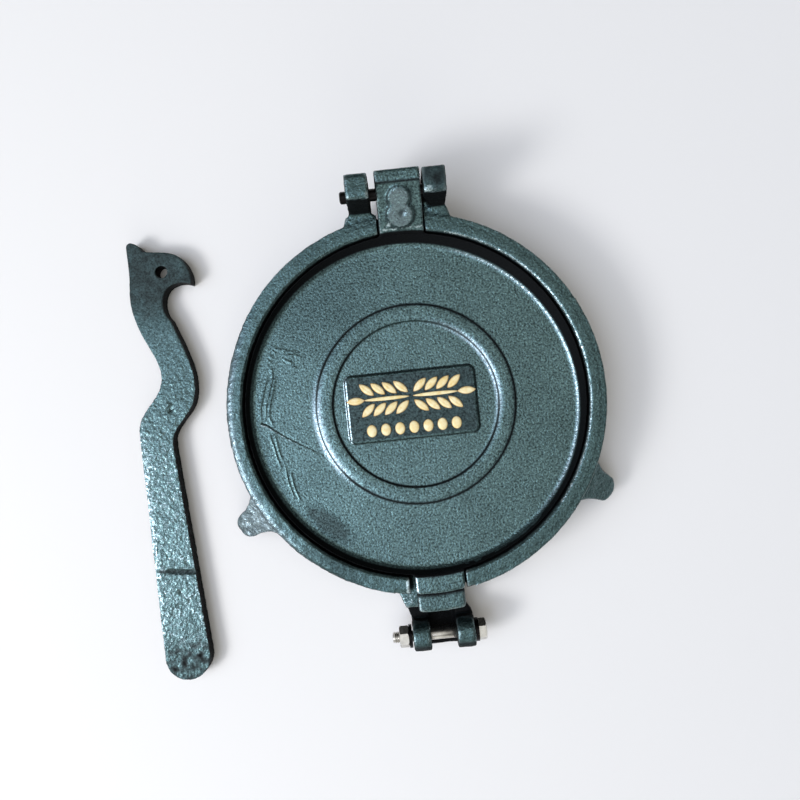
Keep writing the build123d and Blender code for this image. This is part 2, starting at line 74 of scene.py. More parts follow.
# The rounded foot of the pan's wall, out from its radius and up from the floor, in mm
FOOT_PROFILE = [(-2.1, 0.0), (-1.9, 0.03), (-1.2, 0.22), (-1.0, 0.30), (-0.3, 0.74), (-0.1, 0.9),
                (0.15, 1.25), (0.4, 1.8)]
# How that foot departs from a circle, in mm: all round, and cosine and sine of once and twice the bearing
FOOT_OVAL = (0.29, (-0.53, -1.12), (0.33, -0.68))
PLAQUE_X = -2.0 * MM
PLAQUE_HALF = (34.0 * MM, 18.0 * MM)
PLAQUE_TOP = 28.6 * MM
# The plaque's rounded edge, in from its outline and up from the floor, in mm
PLAQUE_EDGE = [(0.0, -0.4), (0.0, 0.02), (0.2, 0.07), (0.45, 0.18), (0.6, 0.30), (0.7, 0.5), (0.8, 0.8),
               (0.9, 1.05), (1.05, 1.25), (1.3, 1.4), (1.55, 1.51), (1.75, 1.57), (1.95, 1.6)]

# Ears of wheat and studs on the plaque
RELIEF_HEIGHT = 1.1 * MM
GRAIN_LENGTH = 9.6 * MM
GRAIN_WIDTH = 4.0 * MM
GRAIN_PITCH = 5.8 * MM
GRAINS_IN_ROW = 4
GRAIN_SPLAY = math.radians(42.0)
GRAIN_GAP = 0.5 * MM
STALK_WIDTH = 2.0 * MM
WHEAT_Y = 4.4 * MM
WHEAT_GAP = 0.8 * MM
STUD_WIDTH = 5.2 * MM
STUD_LENGTH = 6.4 * MM
STUD_PITCH = 7.2 * MM
STUD_COUNT = 7
STUD_Y = -11.4 * MM

# Hinge and fork. The lobes of the boss are (x, y, radius), on a pad that leans back.
PIN_Z = 42.0 * MM
HEEL_STEP_Y = 107.4 * MM
TONGUE_STEP = 95.6 * MM
TONGUE_LEFT = -9.95 * MM
NOTCH_LEFT = -12.15 * MM
LOBES = [(1.75 * MM, 93.2 * MM, 6.8 * MM), (1.75 * MM, 100.5 * MM, 5.6 * MM)]
PAD_LEAN = 0.827
DIMPLE = (3.0 * MM, 94.6 * MM)
EAR_FRONT = 99.0 * MM
EAR_CORNER = (16.2 * MM, 100.0 * MM)
FORK_X = 2.3 * MM
FORK_Y = -120.7 * MM
FORK_Z = 16.0 * MM
FORK_HALF = 6.6 * MM
BOLT_RADIUS = 3.0 * MM
BOLT_LENGTH = 45.0 * MM
THREAD_PITCH = 1.0 * MM
THREAD_DEPTH = 0.55 * MM
THREAD_LENGTH = 18.0 * MM
HEX_ACROSS = 10.0 * MM
HEX_CHAMFER = math.radians(30.0)

# Lever
LEVER_EYE = (-127.3 * MM, 84.0 * MM)
LEVER_THICKNESS = 9.5 * MM
# The groove across the grip, in mm, and pits as (x, y, depth, width) in mm
LEVER_GROOVE = [(-144.5, -74.9), (-124.0, -77.2)]
LEVER_PITS = [(-130.2, 10.3, 0.7, 1.3), (-131.0, 13.4, -0.5, 1.2), (-135.1, -86.6, 0.5, 1.2),
              (-137.0, -94.0, 0.3, 1.0), (-126.5, 3.0, 0.3, 1.5)]

# Light: soft lobes as (toward, cosine where it starts, cosine where it is full, strength), and a small lamp
SOFT_LIGHTS = [((-0.61, -0.12, 0.785), 0.835, 0.935, 2.4), ((-0.30, -0.50, 0.81), 0.78, 0.92, 0.3),
               ((0.0, -0.93, 0.37), 0.90, 0.98, 1.15)]
KEY_PLACE = (-0.80, -0.34, 0.78)

# Mesh steps
BASE_VOXEL = 0.85 * MM
PLATE_VOXEL = 0.8 * MM
LEVER_VOXEL = 0.43 * MM

# Marks on the pan's floor at the left: a crack in the skin of the casting, and ripples that the mould left.
# Each is a line of (x, y) in mm.
CRACK = [(-79.0, -2.0), (-76.4, -3.0), (-67.0, -10.2), (-49.4, -20.9)]
RIPPLES = [
    [(-73.9, 28.7), (-71.1, 24.3), (-71.6, 19.6), (-73.9, 13.0), (-76.1, 6.9), (-77.1, 0.4)],
    [(-74.1, 21.9), (-76.8, 13.3), (-79.1, 6.2), (-79.4, 0.6)],
    [(-70.0, 21.0), (-71.7, 14.4), (-74.0, 7.8), (-75.2, 1.2), (-73.5, -3.2)],
    [(-76.1, -7.7), (-74.2, -14.1), (-73.2, -20.0), (-71.7, -24.8)],
    [(-73.1, -8.5), (-71.9, -17.0), (-70.8, -20.8)],
    [(-69.5, -24.5), (-68.8, -33.0), (-66.5, -41.1)],
    [(-67.2, -27.8), (-66.0, -35.9), (-63.6, -42.9)],
    [(-70.3, 37.0), (-68.0, 35.2), (-65.0, 34.4), (-61.0, 33.2), (-57.2, 32.7)],
    [(-65.5, 32.1), (-62.2, 31.5), (-58.9, 31.2), (-55.2, 29.9)],
    [(-64.9, 30.0), (-62.5, 28.3), (-59.6, 26.6)],
    [(-61.8, 25.2), (-57.8, 24.6)],
    [(-70.3, 35.0), (-68.4, 33.0)], [(-71.8, 32.6), (-70.0, 30.6)], [(-73.3, 30.7), (-71.0, 28.4)],
]


# Kinds and settings that many nodes share. RANGE takes a value, the range that it is read in, and the range
# that it is mapped to, which is 0 to 1 where nothing is said.
RANGE, MATH, MIX = "ShaderNodeMapRange", "ShaderNodeMath", "ShaderNodeMix"
NOISE, VECTOR = "ShaderNodeTexNoise", "ShaderNodeCombineXYZ"
SMOOTH = {"interpolation_type": "SMOOTHSTEP"}
COLOURS = {"data_type": "RGBA"}
TINTING = {"data_type": "RGBA", "blend_type": "MULTIPLY"}
PRODUCT = {"operation": "MULTIPLY"}


# Small tools

def srgb(code):
    """An sRGB hex colour as the linear values that nodes take."""
    parts = [int(code[i:i + 2], 16) / 255 for i in (1, 3, 5)]
    return [c / 12.92 if c <= 0.04045 else ((c + 0.055) / 1.055) ** 2.4 for c in parts] + [1.0]


def add_node(tree, kind, inputs=(), **settings):
    """Adds a node, sets its properties, and fills its inputs, by name or in order, with values or sockets."""
    node = tree.nodes.new(kind)
    for name, value in settings.items():
        setattr(node, name, value)
    for key, value in inputs.items() if isinstance(inputs, dict) else enumerate(inputs):
        if isinstance(value, bpy.types.Node):
            value = value.outputs[0]
        if isinstance(value, bpy.types.NodeSocket):
            tree.links.new(value, node.inputs[key])
        else:
            node.inputs[key].default_value = value
    return node


def new_object(name, data):
    """An object at the origin that holds the mesh, lamp or camera."""
    obj = bpy.data.objects.new(name, data)
    bpy.context.scene.collection.objects.link(obj)
    return obj


def mesh_from(name, points, faces):
    """An object from points and faces, doubles merged and normals outwards."""
    mesh = bpy.data.meshes.new(name)
    mesh.from_pydata(points, [], faces)
    body = bmesh.new()
    body.from_mesh(mesh)
    bmesh.ops.remove_doubles(body, verts=body.verts, dist=1e-6)
    bmesh.ops.recalc_face_normals(body, faces=body.faces)
    body.to_mesh(mesh)
    body.free()
    return new_object(name, mesh)


def circle(around):
    """The cosine and sine of evenly spaced angles."""
    angles = [2 * math.pi * j / around for j in range(around)]
    return [(math.cos(angle), math.sin(angle)) for angle in angles]


def ring_faces(rings, around, first=0):
    """Faces between rings of points that follow one another, from the point numbered first."""
    faces = []
    for i in range(rings - 1):
        a, b = first + i * around, first + (i + 1) * around
        for j in range(around):
            k = (j + 1) % around
            faces.append((a + j, b + j, b + k, a + k))
    return faces


def fan_faces(first, around, middle):
    """Triangles from a ring of points to one point in its middle."""
    return [(first + j, first + (j + 1) % around, middle) for j in range(around)]


def cap_face(first, around):
    """One face over a ring of points."""
    return tuple(first + j for j in reversed(range(around)))


def cad_copy(node, name):
    """A closed copy of a CAD node's mesh, as an object of its own."""
    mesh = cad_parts[node].data.copy()
    mesh.materials.clear()
    body = bmesh.new()
    body.from_mesh(mesh)
    bmesh.ops.remove_doubles(body, verts=body.verts, dist=1e-6)
    body.to_mesh(mesh)
    body.free()
    return new_object(name, mesh)


def settle(obj):
    """Replaces the object's mesh with what its modifiers give, and takes the modifiers off."""
    graph = bpy.context.evaluated_depsgraph_get()
    mesh = bpy.data.meshes.new_from_object(obj.evaluated_get(graph), depsgraph=graph)
    obj.modifiers.clear()
    obj.data = mesh
    mesh.shade_smooth()
    return obj


def give_material(obj, material):
    obj.data.materials.clear()
    obj.data.materials.append(material)


def points_of(obj, kind="co"):
    """The points of the object's mesh, or with kind "normal" their normals, as an array."""
    flat = np.zeros(len(obj.data.vertices) * 3)
    obj.data.vertices.foreach_get(kind, flat)
    return flat.reshape(-1, 3)


def upness(obj):
    """How far up the surface faces at each point: 1 level, 0 upright, -1 underneath."""
    return points_of(obj, "normal")[:, 2]


def set_points(obj, points):
    obj.data.vertices.foreach_set("co", points.ravel())
    obj.data.update()


def hollowness(obj, rounds, full):
    """Stores how hollow the surface is as the attribute "cavity": 0 on edges, 0.5 level, 1 in corners."""
    mesh = obj.data
    points, normals = points_of(obj), points_of(obj, "normal")
    ends = np.zeros(len(mesh.edges) * 2, int)
    mesh.edges.foreach_get("vertices", ends)
    first, second = ends.reshape(-1, 2).T
    along = points[second] - points[first]
    bend = np.zeros(len(points))
    count = np.bincount(ends, minlength=len(points))
    np.add.at(bend, first, (along * normals[first]).sum(1))
    np.add.at(bend, second, -(along * normals[second]).sum(1))
    bend /= np.maximum(count, 1)
    for _ in range(rounds):
        total = np.bincount(first, bend[second], len(points))
        bend = (bend + total + np.bincount(second, bend[first], len(points))) / (count + 1)
    store(obj, cavity=np.clip(0.5 + 0.5 * bend / full, 0, 1))


# Materials

def new_material(name):
    """An empty node material, the function that adds nodes to it, and its Object coordinates."""
    material = bpy.data.materials.new(name)
    material.use_nodes = True
    material.node_tree.nodes.clear()
    add = partial(add_node, material.node_tree)
    return material, add, add("ShaderNodeTexCoord").outputs["Object"]


def end_material(add, height, depth, looks):
    """Ends a material in a shader with the given inputs, over bumps of the given depth."""
    bump = add("ShaderNodeBump", {"Height": height, "Distance": depth})
    shader = add("ShaderNodeBsdfPrincipled", {"Normal": bump, **looks})
    add("ShaderNodeOutputMaterial", {"Surface": shader})


def graphite_paint(name, level_colour, grain, depth, roughness, fleck):
    """Graphite paint on sand-cast iron: a grey-green metal sheen on level faces, turned dull black by painted
    shade down the sides and in corners, and by the stored shade, which is painted shade and a few dark marks;
    pale on edges, partly wear and partly painted highlight; over sand grain. Where the stored glint says,
    curls of a pale colour show as painted highlights, and where the stored sheen says, it is paler, as
    painted sheen and, on the hinge pad, wear.

    Real sand grain is 0.2 to 0.3 mm, too fine to show at 0.5 mm to a pixel, and is drawn 0.9 to 1 mm wide.
    The clouds left by rubbing are as wide as a thumb, 22 mm, and the painted curls are 1.7 mm long."""
    material, add, place = new_material(name)
    sand = add(NOISE, {"Vector": place, "Scale": 1 / grain, "Roughness": 0.6})
    clouds = add(NOISE, {"Vector": place, "Scale": 1 / (22 * MM), "Detail": 3.0, "Roughness": 0.55})
    scale = add(NOISE, {
        "Vector": place, "Scale": 1 / (1.7 * MM), "Detail": 3.0, "Roughness": 0.6, "Distortion": 1.2})
    cavity, soot, glint, bared = [
        add("ShaderNodeAttribute", attribute_name=stored).outputs["Fac"]
        for stored in ("cavity", "soot", "glint", "bared")]

    speckle = add(RANGE, (sand, 0.3, 0.7, 1 - fleck, 1 + fleck))
    cloud = add(RANGE, (clouds, 0.3, 0.7, 0.88, 1.12))
    gain = add(MATH, (speckle, cloud), **PRODUCT)
    tone = add(MIX, {0: 1.0, 6: srgb(level_colour), 7: gain}, **TINTING)
    # Paler where the stored sheen says: painted sheen, and wear on the hinge pad
    tone = add(MIX, {0: bared, 6: tone.outputs[2], 7: srgb("#9aa9b4")}, **COLOURS)
    # Painted highlights: curls of a pale colour where the stored glint says
    raised = add(MATH, (glint, 0.35, scale), operation="MULTIPLY_ADD")
    curl = add(RANGE, (raised, 0.58, 0.84), **SMOOTH)
    allowed = add(MATH, (glint, 4.0), use_clamp=True, **PRODUCT)
    bare = add(MATH, (curl, allowed), **PRODUCT)
    glinted_tone = add(MIX, {0: bare, 6: tone.outputs[2], 7: srgb("#b7ccd2")}, **COLOURS)
    # Pale on sharp edges: partly wear, partly painted highlight
    edge = add(RANGE, (cavity, 0.38, 0.1, 0.0, 0.6), **SMOOTH)
    edge_wear_and_sheen = add(MIX, {0: edge, 6: glinted_tone.outputs[2], 7: srgb("#b4c4c6")}, **COLOURS)
    # Painted shade in corners, joined with the stored shade and dark marks
    corner = add(RANGE, (cavity, 0.6, 0.95), **SMOOTH)
    black = add(MATH, (soot, corner), operation="MAXIMUM")
    paint = add(MIX, {0: black, 6: edge_wear_and_sheen.outputs[2], 7: srgb("#06080a")}, **COLOURS)
    # Where shade and dark marks are painted, the paint is no metal and hardly shines
    metal = add(RANGE, (black, 0.3, 1.0, 0.95, 0.0))
    gloss = add(RANGE, (black, 0.3, 1.0, 0.5, 0.12))
    rough = add(RANGE, (sand, 0.3, 0.7, roughness + 0.08, roughness - 0.06))
    rough = add(MATH, (black, 0.4, rough), operation="MULTIPLY_ADD")
    end_material(add, sand, depth, {
        "Base Color": paint.outputs[2], "Roughness": rough, "Metallic": metal, "Specular IOR Level": gloss})
    return material


def gold_paint():
    """Pale gold enamel brushed on the relief: glossy cream yellow, browner towards its edges as painted
    shade. The brush leaves streaks 2.5 mm wide."""
    material, add, place = new_material("gold_enamel")
    brush = add(NOISE, {"Vector": place, "Scale": 1 / (2.5 * MM), "Detail": 3.0, "Roughness": 0.6})
    mix = add(RANGE, (brush, 0.35, 0.7))
    tone = add(MIX, {0: mix, 6: srgb("#fbeec0"), 7: srgb("#f2d48c")}, **COLOURS)
    height = add("ShaderNodeSeparateXYZ", {"Vector": place}).outputs["Z"]
    # Painted shade: browner low on the relief, near its edges
    thin = add(RANGE, (height, PLAQUE_TOP + 0.7 * MM, PLAQUE_TOP), **SMOOTH)
    tone = add(MIX, {0: thin, 6: tone.outputs[2], 7: srgb("#a9783a")}, **COLOURS)
    end_material(add, brush, 0.12 * MM, {"Base Color": tone.outputs[2], "Roughness": 0.38})
    return material


def plated_steel(name, colour, roughness):
    """Turned or pressed steel with a thin plating: a satin metal, streaked round the part by the tool and
    clouded by handling. Real tool marks are 0.05 mm wide and are drawn 0.25 mm wide; stains are 3 mm."""
    material, add, place = new_material(name)
    stretched = add("ShaderNodeMapping", {"Vector": place, "Scale": (1 / (0.25 * MM), 1 / MM, 1 / MM)})
    lines = add(NOISE, {"Vector": stretched, "Scale": 1.0, "Detail": 4.0})
    stains = add(NOISE, {"Vector": place, "Scale": 1 / (3 * MM)})
    dull = add(RANGE, (stains, 0.35, 0.75, 1.0, 0.72))
    tone = add(MIX, {0: 1.0, 6: srgb(colour), 7: dull}, **TINTING)
    rough = add(RANGE, (lines, 0.3, 0.7, roughness - 0.07, roughness + 0.1))
    end_material(add, lines, 0.02 * MM, {
        "Base Color": tone.outputs[2], "Roughness": rough, "Metallic": 1.0})
    return material


ring_paint = graphite_paint("ring_graphite_paint", "#4c6264", 1.0 * MM, 0.28 * MM, 0.30, 0.48)
plate_paint = graphite_paint("plate_graphite_paint", "#546b6d", 1.0 * MM, 0.27 * MM, 0.30, 0.74)
lever_paint = graphite_paint("lever_graphite_paint", "#4b5f60", 0.9 * MM, 0.21 * MM, 0.28, 0.55)
gold = gold_paint()
zinc = plated_steel("zinc_plated_steel", "#c9c6bf", 0.32)
black_steel = plated_steel("oiled_black_steel", "#201f20", 0.35)


# Cast skin, and tools for shaping and marking meshes

def new_tree(name, numbers):
    """A geometry tree that takes a mesh, named numbers and a material, the function that adds nodes to it,
    and the sockets that give what it takes."""
    tree = bpy.data.node_groups.new(name, "GeometryNodeTree")
    sockets = [("Geometry", "Geometry", None)]
    sockets += [(title, "Int" if isinstance(value, int) else "Float", value) for title, value in numbers]
    for title, kind, value in sockets + [("Material", "Material", None)]:
        socket = tree.interface.new_socket(title, in_out="INPUT", socket_type="NodeSocket" + kind)
        if value is not None:
            socket.default_value = value
    tree.interface.new_socket("Geometry", in_out="OUTPUT", socket_type="NodeSocketGeometry")
    add = partial(add_node, tree)
    return tree, add, add("NodeGroupInput").outputs


def end_tree(add, geometry, material):
    """Ends a geometry tree in plain geometry with the material on it."""
    real = add("GeometryNodeRealizeInstances", {"Geometry": geometry})
    painted = add("GeometryNodeSetMaterial", {"Geometry": real, "Material": material})
    add("NodeGroupOutput", {"Geometry": painted})


def cast_skin_tree():
    """Uneven swells and sand pits, always inwards so that the casting stays inside its outline."""
    tree, add, given = new_tree("cast_skin", (
        ("Swell Size", 8 * MM), ("Swell Depth", 0.2 * MM), ("Pit Size", 2 * MM), ("Pit Depth", 0.1 * MM),
        ("Seed", 1.0)))
    place = add("GeometryNodeInputPosition")
    normal = add("GeometryNodeInputNormal")
    weight = add("GeometryNodeInputNamedAttribute", {"Name": "roughcast"}, data_type="FLOAT")
    sinks = []
    for size, depth in (("Swell Size", "Swell Depth"), ("Pit Size", "Pit Depth")):
        scale = add(MATH, (1.0, given[size]), operation="DIVIDE")
        uneven = add(NOISE, {"Vector": place, "W": given["Seed"], "Scale": scale}, noise_dimensions="4D")
        sunk = add(RANGE, (uneven, 0.25, 0.75, -1.0, 0.0))
        sinks.append(add(MATH, (sunk, given[depth]), **PRODUCT))
    sink = add(MATH, sinks, operation="ADD")
    sink = add(MATH, (sink, weight), **PRODUCT)
    offset = add("ShaderNodeVectorMath", {0: normal, "Scale": sink}, operation="SCALE")
    moved = add("GeometryNodeSetPosition", {"Geometry": given["Geometry"], "Offset": offset})
    end_tree(add, moved, given["Material"])
    return tree


def run_tree(obj, tree, **values):
    """Runs a node tree on the object with named inputs, and keeps the plain mesh that it gives."""
    modifier = obj.modifiers.new(tree.name, "NODES")
    modifier.node_group = tree
    sockets = {s.name: s.identifier for s in tree.interface.items_tree if s.in_out == "INPUT"}
    for name, value in values.items():
        modifier[sockets[name.replace("_", " ").title()]] = value
    settle(obj)


def remesh(obj, voxel, rounds):
    """An even mesh of the object's shape, with its edges softened."""
    shaper = obj.modifiers.new("remesh", "REMESH")
    shaper.mode = "VOXEL"
    shaper.voxel_size = voxel
    softener = obj.modifiers.new("soften", "SMOOTH")
    softener.factor = 0.5
    softener.iterations = rounds
    return settle(obj)


def store(obj, **marks):
    """Stores a number for each point of the mesh under each given name: of a list of arrays, the highest."""
    for name, values in marks.items():
        if isinstance(values, list):
            values = np.maximum.reduce(values)
        stored = obj.data.attributes.new(name, "FLOAT", "POINT").data
        stored.foreach_set("value", np.full(len(stored), values, np.float32))


def mottle(points, size):
    """Soft noise from about -1 to 1 at each point, with patches of the given size."""
    return np.array([noise.noise(Vector(point) / size) for point in points])


def ramp(x, start, end):
    """0 at start, 1 at end, smooth between."""
    t = np.clip((x - start) / (end - start), 0, 1)
    return t * t * (3 - 2 * t)


def bell(gap, width):
    """1 where the gap is nothing, falling smoothly to 0 beyond the width."""
    return np.exp(-(gap / width) ** 2)


def spot(x, y, centre, width):
    """1 at the centre, falling smoothly to 0 beyond the width."""
    return bell(np.hypot(x - centre[0], y - centre[1]), width)


def span(x, start, full, end, out):
    """0 up to start, 1 from full to end, and 0 again from out on."""
    return ramp(x, start, full) * (1 - ramp(x, end, out))


cast_skin = cast_skin_tree()


def give_skin(obj, swell, pit, seed, paint):
    """Roughens the mesh by its "roughcast" marks with swells and pits, each of a size and a depth in mm."""
    run_tree(obj, cast_skin, swell_size=swell[0] * MM, swell_depth=swell[1] * MM,
             pit_size=pit[0] * MM, pit_depth=pit[1] * MM, seed=seed, material=paint)


def merge_level(obj, height, low, within, wedges=12):
    """Merges the level faces at a height and within a radius, which are ground smooth or out of sight, into a
    few flat ones."""
    body = bmesh.new()
    body.from_mesh(obj.data)
    groups = [[] for _ in range(wedges)]
    for face in body.faces:
        middle = face.calc_center_median()
        level = abs(middle.z - height) < 0.05 * MM and face.normal.z * (-1 if low else 1) > 0.999
        if level and middle.xy.length <= within:
            angle = math.atan2(middle.y, middle.x) / (2 * math.pi) % 1.0
            groups[int(angle * wedges) % wedges].append(face)
    for group in groups:
        merged = bmesh.ops.dissolve_faces(body, faces=group)
        for face in merged["region"]:
            face.smooth = False
    body.to_mesh(obj.data)
    body.free()


def distance_to(line, x, y):
    """Distance of each point to a line of (x, y) points, and how far along it the nearest place is."""
    best = np.full(len(x), 1.0)
    along = np.zeros(len(x))
    for k in range(len(line) - 1):
        start = np.array(line[k]) * MM
        run = np.array(line[k + 1]) * MM - start
        t = np.clip(((x - start[0]) * run[0] + (y - start[1]) * run[1]) / (run @ run), 0, 1)
        gap = np.hypot(x - start[0] - t * run[0], y - start[1] - t * run[1])
        along = np.where(gap < best, (k + t) / (len(line) - 1), along)
        best = np.minimum(gap, best)
    return best, along


def azimuth_of(x, y):
    """Bearing of each point about the Z axis in degrees, from 0 to 360 from +X."""
    return np.degrees(np.arctan2(y, x)) % 360


def refine(obj, lines, reach, cuts):
    """Divides the faces of the pan's floor whose middle is near one of the lines."""
    body = bmesh.new()
    body.from_mesh(obj.data)
    x, y, z = np.array([face.calc_center_median() for face in body.faces]).T
    gap = np.minimum.reduce([distance_to(line, x, y)[0] for line in lines])
    near = (gap < reach) & (z > FLOOR_Z - 0.1 * MM)
    chosen = {edge.index for face in body.faces if near[face.index] for edge in face.edges}
    edges = [edge for edge in body.edges if edge.index in chosen]
    bmesh.ops.subdivide_edges(body, edges=edges, cuts=cuts, use_grid_fill=True)
    small = 4 * MM * MM
    bmesh.ops.triangulate(body, faces=[f for f in body.faces if len(f.verts) > 4 and f.calc_area() < small])
    body.to_mesh(obj.data)
    body.free()


# Base casting

def base_casting():
    obj = remesh(cad_copy("base", "base_casting"), BASE_VOXEL, 3)
    points = points_of(obj)
    x, y, z = points.T
    radius, azimuth = np.hypot(x, y), azimuth_of(x, y)
    # The ring's outer edge is full, but well rounded at the left
    full = 1 - span(azimuth, 140, 165, 235, 255)
    over = np.clip(radius - (RING_RADIUS - RING_EDGE), 0, RING_EDGE)
    level = RING_TOP - 0.1 * MM - (RING_EDGE - np.sqrt(RING_EDGE ** 2 - over ** 2))
    rounded = (upness(obj) > 0.3) & (radius > 92.5 * MM) & (radius < RING_RADIUS)
    rounded &= (z > 28 * MM) & (z < RING_TOP + 0.3 * MM) & ((np.abs(x) > 20 * MM) | (y > 0))
    points[rounded, 2] += (full * (level - z))[rounded]
    set_points(obj, points)
    merge_level(obj, PRESS_Z, low=False, within=RING_INNER - 5 * MM)
    merge_level(obj, FOOT_HEIGHT, low=True, within=RING_RADIUS - 5 * MM)
    x, y = points_of(obj)[:, :2].T
    radius = np.hypot(x, y)
    outside = ramp(radius, RING_RADIUS - 5 * MM, RING_RADIUS + 4 * MM)
    inside = ramp(radius, RING_INNER - 1.5 * MM, RING_INNER)
    left = ramp(-0.94 * x - 0.34 * y, 20 * MM, 85 * MM)
    store(obj, roughcast=inside * (0.35 + 0.25 * outside + 0.7 * left * (0.6 + 0.4 * outside)))
    give_skin(obj, (6, 0.45), (2.2, 0.45), 3.0, ring_paint)
    hollowness(obj, 2, 0.15 * MM)
    paint_base(obj)
    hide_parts("base")
    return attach(obj, "base")


def paint_base(obj):
    """Where the base casting gets painted shade and painted highlights, and where it is darker in blotches
    and on an arc.
    """
    points = points_of(obj)
    x, y, z = points.T
    up = upness(obj)
    radius, azimuth = np.hypot(x, y), azimuth_of(x, y)
    on_ring, off_ring = radius > RING_INNER, radius > RING_RADIUS
    # Painted shade: the sides, the foot and floor of the fork and the fronts of its bosses; and darker on an
    # arc of the ring
    side = 1 - ramp(np.abs(up), 0.2, 0.65)
    low = (1 - ramp(z, 13 * MM, 17 * MM)) * off_ring * (y < -RING_RADIUS)
    fork_floor = (z < 21 * MM) * off_ring * (np.abs(x - FORK_X) < FORK_HALF) * (y < -RING_RADIUS)
    boss_front = ramp(-y, -FORK_Y + 2.4 * MM, -FORK_Y + 5.0 * MM) * off_ring
    arc = bell(azimuth - 237, 12) * on_ring
    # The right ear's top is darker in blotches, with a painted highlight at its front corner
    on_ear = (z > 45 * MM) * (x > 0)
    bright = spot(x, y, EAR_CORNER, 2.2 * MM) * on_ear
    blotch = 0.35 + 0.5 * bell(x - 20 * MM, 5 * MM) * bell(y - 106 * MM, 4 * MM)
    blotch = np.where(on_ear, blotch + 0.3 * mottle(points, 3 * MM), 0) * (1 - bright)
    store(obj, soot=[side, low, fork_floor, blotch, 0.9 * boss_front, 0.3 * arc])
    # Painted highlights and sheen: the ring's outer half at the left, the left foot, the shelf by the fork,
    # the end of the ring at the notch, the front edges of the ears, and the ring's inner edge at the right
    ring_side = span(azimuth, 142, 170, 214, 232) * on_ring * ramp(radius, 90.5 * MM, 95 * MM)
    foot = (radius > RING_RADIUS + 1 * MM) * (azimuth > 195) * (azimuth < 225)
    shelf = (radius > RING_RADIUS + 0.5 * MM) * (x < -8 * MM) * (x > -24 * MM)
    shelf = shelf * (y > -108 * MM) * (y < 0) * (z > 21 * MM)
    ring_end = (x < NOTCH_LEFT) * (x > NOTCH_LEFT - 1.9 * MM) * (y < -RING_INNER)
    ring_end = ring_end * (z > 31 * MM) * (up > 0.3)
    ear_edge = bell(y - EAR_FRONT, 0.8 * MM) * (z > 52 * MM) * (0.5 + 0.5 * bell(x - 16 * MM, 2.5 * MM))
    lip = (azimuth < 75) | (azimuth > 320)
    lip = lip * bell(radius - RING_INNER - 0.8 * MM, 0.5 * MM) * (z > 31 * MM)
    store(obj, bared=[0.3 * ring_side, 0.45 * foot], glint=[
        0.36 * ring_side, 0.5 * foot, 0.2 * shelf, ring_end, 0.8 * ear_edge, 0.9 * bright, 0.7 * lip])


# Top plate casting. The pan's floor and wall and the plaque are finer pieces laid over it.

def top_casting():
    obj = remesh(cad_copy("top_plate", "top_casting"), PLATE_VOXEL, 2)
    points = points_of(obj)
    x, y, z = points.copy().T
    radius = np.hypot(x, y)
    # The drill mark in the boss, and a groove at the foot of the tongue's step
    points[:, 2] -= (z > 36 * MM) * 0.7 * MM * spot(x, y, DIMPLE, 1.2 * MM)
    low_step = (z < 32.5 * MM) & (z > FLOOR_Z) & (y < -RING_INNER)
    points[low_step, 2] -= 0.7 * MM * bell(radius[low_step] - TONGUE_STEP - 1.3 * MM, 0.8 * MM)
    # The pan is sunk under the finer piece that is laid over it
    inside = (z > FLOOR_Z - 1 * MM) & (radius < RIM_INNER - 0.3 * MM) & (z < RIM_Z)
    points[inside, 2] -= PAN_SUNK
    shift, share = foot_shift(x, y)
    move_out(points, inside * share * np.maximum(shift, 0))
    radius = np.hypot(points[:, 0], points[:, 1])
    points[inside & (radius < PAN_RADIUS - 2 * MM), 2] = FLOOR_Z - PAN_SUNK
    set_points(obj, points)
    merge_level(obj, FLOOR_Z - PAN_SUNK, low=False, within=RIM_INNER)
    merge_level(obj, LID_Z, low=True, within=RING_INNER - 6 * MM)
    store(obj, roughcast=np.where(points_of(obj)[:, 2] > FLOOR_Z, 1.0, 0.2))
    give_skin(obj, (7, 0.2), (2.2, 0.15), 8.0, plate_paint)
    hollowness(obj, 2, 0.15 * MM)
    paint_top(obj)
    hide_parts("top_plate")
    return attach(obj, "top_plate")


def paint_top(obj):
    """Where the upper casting gets painted shade and painted highlights, where its tongue is a little darker,
    and where its pad is paler.
    """
    x, y, z = points_of(obj).T
    radius = np.hypot(x, y)
    # Painted shade: the sides, the pan's wall, the step of the heel and the riser of the tongue; the tongue's
    # low end is a little darker
    side = 1 - ramp(np.abs(upness(obj)), 0.2, 0.6)
    wall = span(radius, PAN_RADIUS - 1.0 * MM, PAN_RADIUS + 0.2 * MM,
                RING_INNER - 0.1 * MM, RING_INNER + 0.4 * MM)
    step = bell(y - HEEL_STEP_Y, 0.6 * MM) * (z > PIN_Z + 4 * MM)
    on_tongue = y < 0
    riser = span(radius - TONGUE_STEP, -0.3 * MM, 0.1 * MM, 1.5 * MM, 2.6 * MM)
    riser = riser * on_tongue * (z > FLOOR_Z) * (z < 33 * MM)
    low_end = 0.1 * (radius > TONGUE_STEP) * on_tongue
    # The pad with its two lobes: an outline of painted shade, broken in one place by a painted highlight,
    # worn inside, and painted shade in the drill mark
    lobe = np.minimum.reduce([np.hypot(x - cx, (y - cy) / PAD_LEAN) - reach for cx, cy, reach in LOBES])
    on_pad = (y > 88 * MM) * (z > 35 * MM)
    dash = spot(x, y, (-4.4 * MM, 89.9 * MM), 1.0 * MM) * on_pad
    outline = 0.8 * bell(lobe - 0.3 * MM, 0.55 * MM) * on_pad * (1 - dash)
    dimple = 0.8 * spot(x, y, DIMPLE, 1.0 * MM) * (z > 36 * MM)
    store(obj, soot=[side, wall, step, riser, dimple, outline, low_end])
    store(obj, bared=0.28 * (1 - ramp(lobe, -1.2 * MM, -0.4 * MM)) * on_pad)
    # Painted highlights on the pad's low edge, the tongue's left end and the dash by the lobes
    pad_edge = 0.7 * bell(y - 87.8 * MM, 0.45 * MM) * (z > 34.5 * MM)
    tongue_end = (x < TONGUE_LEFT + 1.3 * MM) * (radius < TONGUE_STEP + 0.4 * MM)
    tongue_end = tongue_end * (z > 32 * MM) * on_tongue
    store(obj, glint=[pad_edge, tongue_end, dash])


